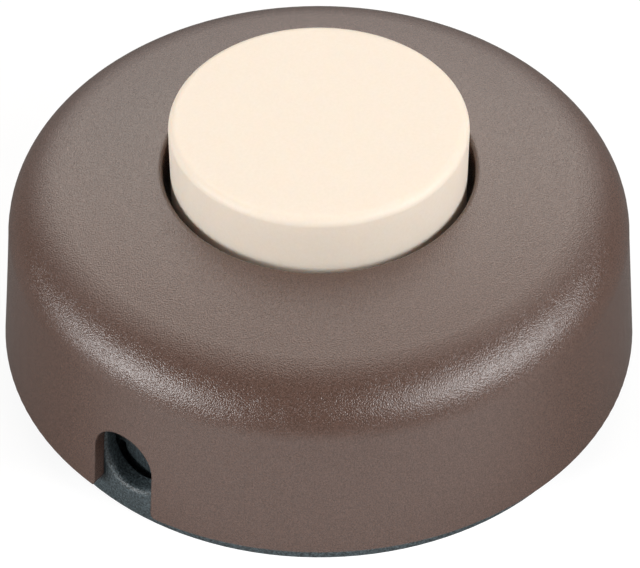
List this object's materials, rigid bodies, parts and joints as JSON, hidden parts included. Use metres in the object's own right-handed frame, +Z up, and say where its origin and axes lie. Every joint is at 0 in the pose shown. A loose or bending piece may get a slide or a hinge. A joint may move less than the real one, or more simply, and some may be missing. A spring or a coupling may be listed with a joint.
{
  "type": "inline foot switch",
  "caption": "Round floor-standing switch for a lamp cord: drafted cover, large push button, arched cord entries on opposite sides and a push-push contact rotor inside.",
  "frame": {"origin": "centre of the round housing on the plane of the feet, which is the floor", "axes": "+Z up, out of the push button; X along the cord, which enters at -X and leaves at +X"},
  "size_m": [0.0646, 0.065, 0.0301],
  "materials": {
    "cover_plastic": "spark-eroded grain",
    "base_plastic": "fine matt",
    "button_plastic": "satin",
    "white_acetal": "smooth moulded",
    "brass": "bright",
    "steel": "zinc plated",
    "rubber": "matt"
  },
  "bodies": {
    "housing": {"base_plate": "base_plastic", "cover": "cover_plastic", "return_spring": "steel", "spring_seat": "steel", "axle_pin": "steel", "live_contact_in": "brass", "live_contact_out": "brass", "neutral_link": "brass", "cord_clamp_in": "base_plastic", "cord_clamp_out": "base_plastic", "terminal_screws": "steel", "clamp_screws": "steel", "housing_screws": "steel", "terminal_live_in": "brass", "terminal_live_out": "brass", "terminal_neutral_in": "brass", "terminal_neutral_out": "brass", "rubber_foot_1": "rubber", "rubber_foot_2": "rubber", "rubber_foot_3": "rubber", "rubber_foot_4": "rubber"},
    "button": {"push_button": "button_plastic", "plunger": "white_acetal"},
    "rotor": {"index_rotor": "white_acetal", "contact_cross": "brass", "contact_spring": "steel"}
  },
  "joints": [
    {"name": "button_press", "type": "slide", "parent": "housing", "child": "button", "axis": [0, 0, -1], "range_m": [0, 0.004], "stiffness_N_per_m": 800, "springref_m": -0.004, "deforming": ["return_spring"]},
    {"name": "rotor_index", "type": "hinge", "parent": "housing", "child": "rotor", "pos_m": [0, 0, 0.0047], "axis": [0, 0, 1], "range_deg": [0, 30]}
  ],
  "couplings": [
    {"joint": "rotor_index", "follows": "button_press", "rad_per_m": 130.9}
  ]
}
